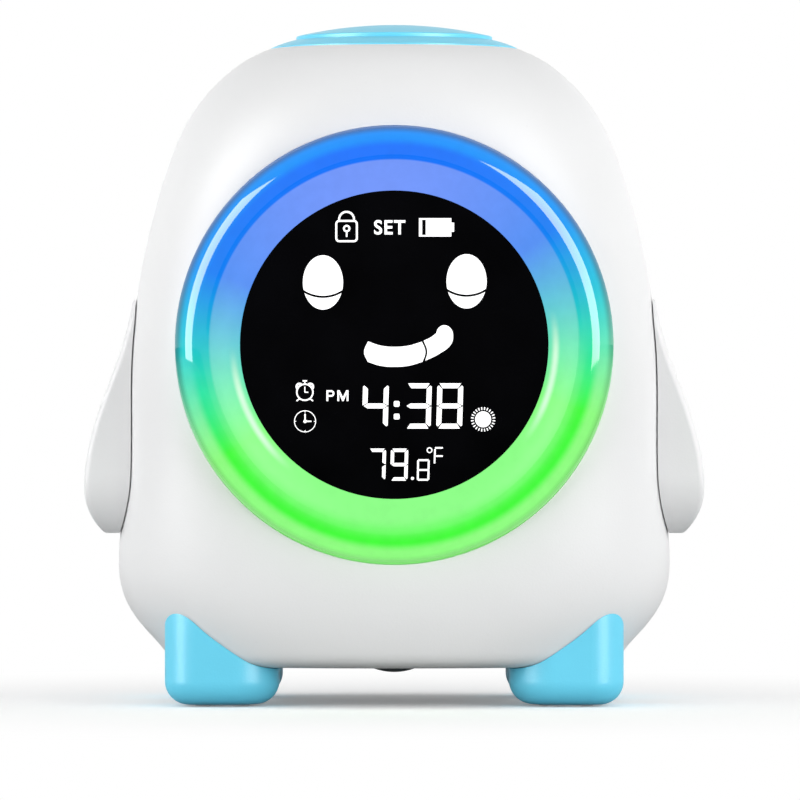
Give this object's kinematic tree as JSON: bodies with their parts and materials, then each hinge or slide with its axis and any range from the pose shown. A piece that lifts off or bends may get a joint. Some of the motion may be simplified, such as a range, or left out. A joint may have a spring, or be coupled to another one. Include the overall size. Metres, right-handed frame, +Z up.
{
  "type": "kids alarm clock with night light",
  "caption": "Egg-shaped children's bedside alarm clock with a glowing colour ring, a round display, a press-down crown button, side wings and feet.",
  "frame": {"origin": "middle of the footprint, on the plane that the foot pads stand on", "axes": "+Z up; the display faces -Y; +X to the viewer's right when facing the display"},
  "size_m": [0.1224, 0.0855, 0.1351],
  "materials": {
    "white_shell": "satin",
    "blue_plastic": "satin",
    "ring_diffuser": "glossy, translucent, lit from behind",
    "window_black": "polished",
    "inner_white": "matt",
    "inner_black": "matt",
    "circuit_board": "solder mask",
    "led_chip": "clear resin",
    "chip_black": "moulded",
    "screw_steel": "zinc plated",
    "socket_steel": "bright",
    "rubber_grey": "matt",
    "rubber_white": "matt",
    "cell_wrap": "shrink film",
    "speaker_metal": "black",
    "magnet_grey": "sintered",
    "cone_black": "moulded film"
  },
  "bodies": {
    "clock": {"front_shell": "white_shell", "rear_shell": "white_shell", "left_wing": "white_shell", "right_wing": "white_shell", "light_ring": "ring_diffuser", "dial_plate": "inner_white", "led_board": "circuit_board", "ring_leds": "led_chip", "display_cup": "inner_black", "display_board": "circuit_board", "display_panel": "inner_black", "display_window": "window_black", "dial_screws": "screw_steel", "top_cap": "blue_plastic", "top_board": "circuit_board", "top_switch": "chip_black", "foot_pads": "rubber_white", "foot_screws": "screw_steel", "floor_plug": "rubber_grey", "main_board": "circuit_board", "board_chips": "chip_black", "board_screws": "screw_steel", "key_switches": "chip_black", "usb_socket": "socket_steel", "switch_housing": "chip_black", "speaker_frame": "speaker_metal", "speaker_magnet": "magnet_grey", "speaker_cone": "cone_black", "battery_cell": "cell_wrap", "battery_cradle": "inner_black", "wing_screws": "screw_steel", "case_screws": "screw_steel", "front_left_foot": "blue_plastic", "front_right_foot": "blue_plastic", "rear_left_foot": "blue_plastic", "rear_right_foot": "blue_plastic"},
    "top_button": {"top_button": "blue_plastic", "top_plunger": "inner_white"},
    "power_slider": {"power_slider": "blue_plastic"},
    "alarm_key": {"alarm_key": "blue_plastic", "alarm_key_plunger": "inner_white"},
    "set_key": {"set_key": "blue_plastic", "set_key_plunger": "inner_white"},
    "light_key": {"light_key": "blue_plastic", "light_key_plunger": "inner_white"},
    "down_key": {"down_key": "blue_plastic", "down_key_plunger": "inner_white"},
    "sound_key": {"sound_key": "blue_plastic", "sound_key_plunger": "inner_white"},
    "up_key": {"up_key": "blue_plastic", "up_key_plunger": "inner_white"}
  },
  "joints": [
    {"name": "top_button_press", "type": "slide", "parent": "clock", "child": "top_button", "axis": [0, 0, -1], "range_m": [0, 0.001], "stiffness_N_per_m": 1500, "springref_m": -0.001},
    {"name": "alarm_key_press", "type": "slide", "parent": "clock", "child": "alarm_key", "axis": [0, -1, 0], "range_m": [0, 0.0006], "stiffness_N_per_m": 2000, "springref_m": -0.0005},
    {"name": "set_key_press", "type": "slide", "parent": "clock", "child": "set_key", "axis": [0, -1, 0], "range_m": [0, 0.0006], "stiffness_N_per_m": 2000, "springref_m": -0.0005},
    {"name": "light_key_press", "type": "slide", "parent": "clock", "child": "light_key", "axis": [0, -1, 0], "range_m": [0, 0.0006], "stiffness_N_per_m": 2000, "springref_m": -0.0005},
    {"name": "down_key_press", "type": "slide", "parent": "clock", "child": "down_key", "axis": [0, -1, 0], "range_m": [0, 0.0006], "stiffness_N_per_m": 2000, "springref_m": -0.0005},
    {"name": "sound_key_press", "type": "slide", "parent": "clock", "child": "sound_key", "axis": [0, -1, 0], "range_m": [0, 0.0006], "stiffness_N_per_m": 2000, "springref_m": -0.0005},
    {"name": "up_key_press", "type": "slide", "parent": "clock", "child": "up_key", "axis": [0, -1, 0], "range_m": [0, 0.0006], "stiffness_N_per_m": 2000, "springref_m": -0.0005},
    {"name": "power_slide", "type": "slide", "parent": "clock", "child": "power_slider", "axis": [1, 0, 0], "range_m": [0, 0.0024]}
  ]
}
